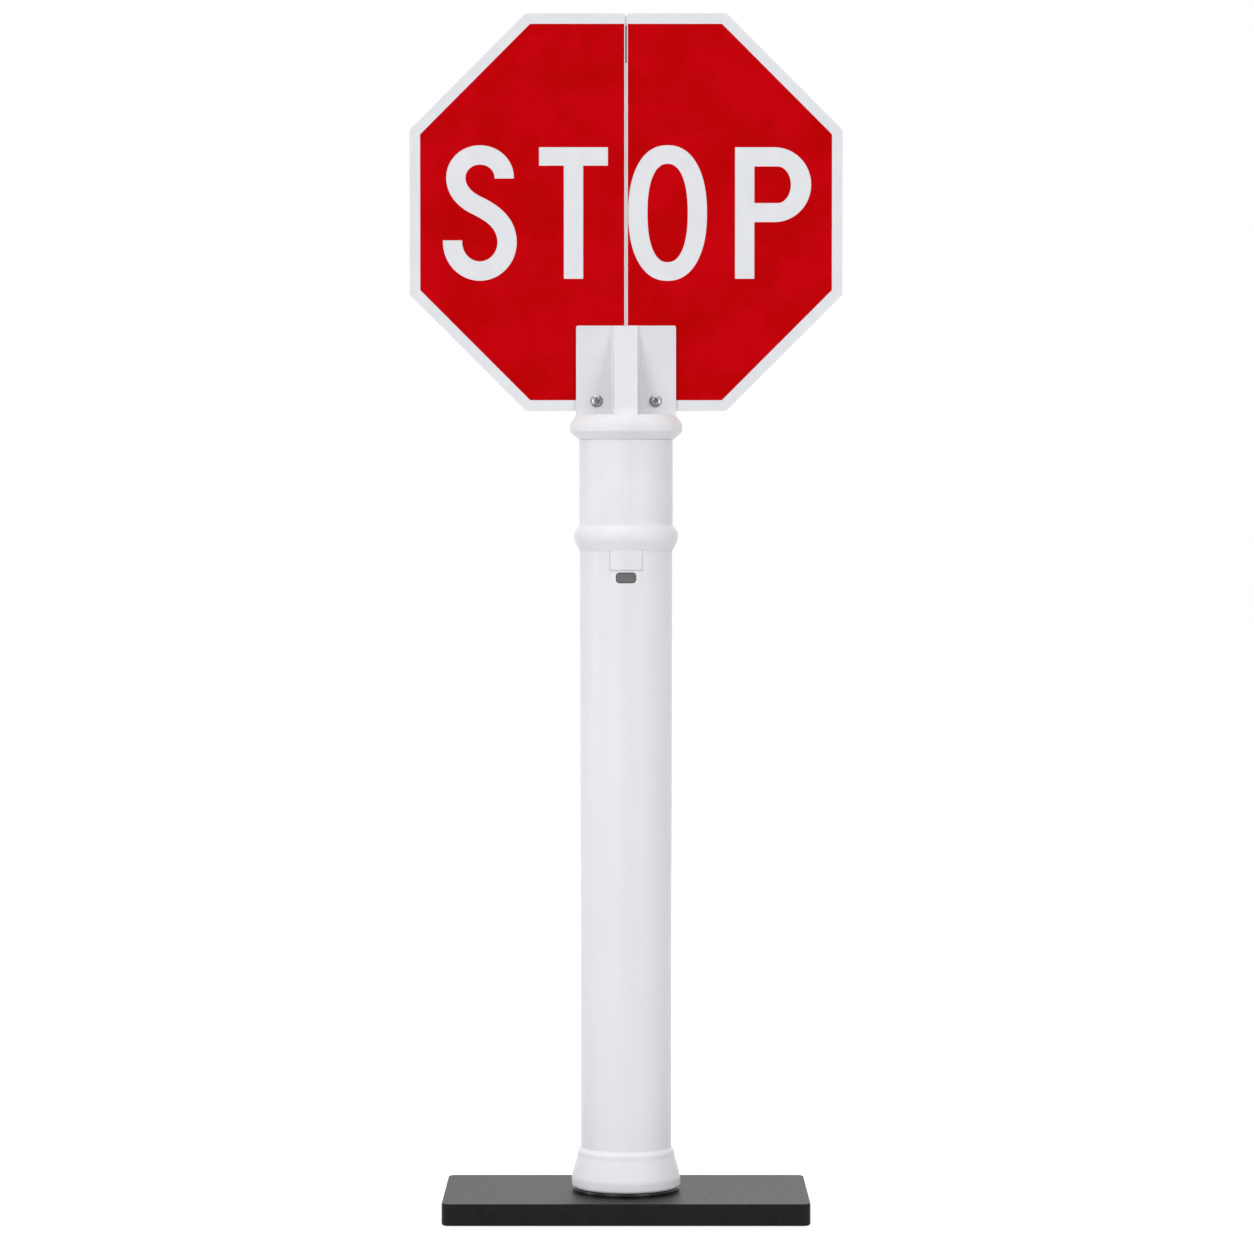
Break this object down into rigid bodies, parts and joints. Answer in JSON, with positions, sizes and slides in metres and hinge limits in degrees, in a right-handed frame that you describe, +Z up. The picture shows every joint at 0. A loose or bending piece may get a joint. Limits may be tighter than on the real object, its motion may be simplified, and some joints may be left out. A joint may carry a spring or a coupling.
{
  "type": "portable stop sign",
  "caption": "Free-standing road sign: a split octagonal sign on a lift-off head, a round plastic post and a flat rubber slab.",
  "frame": {"origin": "the middle of the rubber slab's underside, on the post's axis", "axes": "+Z up along the post, -Y out of the sign's face, +X to the right as the sign is read"},
  "size_m": [0.499, 0.208, 1.3853],
  "materials": {
    "white_plastic": "semi-matt moulded plastic",
    "white_sheet": "white reflective sheeting on a plastic sheet",
    "red_film": "red reflective sheeting",
    "black_rubber": "matt moulded rubber",
    "black_plastic": "glossy black",
    "grey_plastic": "matt dark grey",
    "zinc_steel": "bright zinc plated",
    "spring_steel": "plain spring steel"
  },
  "bodies": {
    "base": {"base_slab": "black_rubber", "base_hub": "black_plastic", "hub_bolt_1": "zinc_steel", "hub_bolt_2": "zinc_steel", "hub_bolt_3": "zinc_steel", "hub_bolt_4": "zinc_steel", "hub_washer_1": "zinc_steel", "hub_washer_2": "zinc_steel", "hub_washer_3": "zinc_steel", "hub_washer_4": "zinc_steel", "hub_nut_1": "zinc_steel", "hub_nut_2": "zinc_steel", "hub_nut_3": "zinc_steel", "hub_nut_4": "zinc_steel"},
    "post": {"foot_skirt": "white_plastic", "post_tube": "white_plastic", "neck_coupler": "grey_plastic", "latch_spring": "spring_steel", "spring_rivet": "zinc_steel"},
    "latch": {"latch_button": "grey_plastic"},
    "head": {"head_cap": "white_plastic", "left_panel": "white_sheet", "right_panel": "white_sheet", "left_red_film": "red_film", "right_red_film": "red_film", "seam_strap": "grey_plastic", "seam_backing": "white_plastic", "panel_screw_left": "zinc_steel", "panel_screw_right": "zinc_steel", "panel_washer_left": "zinc_steel", "panel_washer_right": "zinc_steel", "panel_nut_left": "zinc_steel", "panel_nut_right": "zinc_steel"}
  },
  "joints": [
    {"name": "post_twist", "type": "hinge", "parent": "base", "child": "post", "pos_m": [0, 0, 0.0294], "axis": [0, 0, 1], "range_deg": [0, 45]},
    {"name": "latch_press", "type": "slide", "parent": "post", "child": "latch", "axis": [0, 1, 0], "range_m": [0, 0.0025], "stiffness_N_per_m": 1500, "deforming": ["latch_spring"]},
    {"name": "head_lift", "type": "slide", "parent": "post", "child": "head", "axis": [0, 0, 1], "range_m": [0, 0.12]}
  ]
}
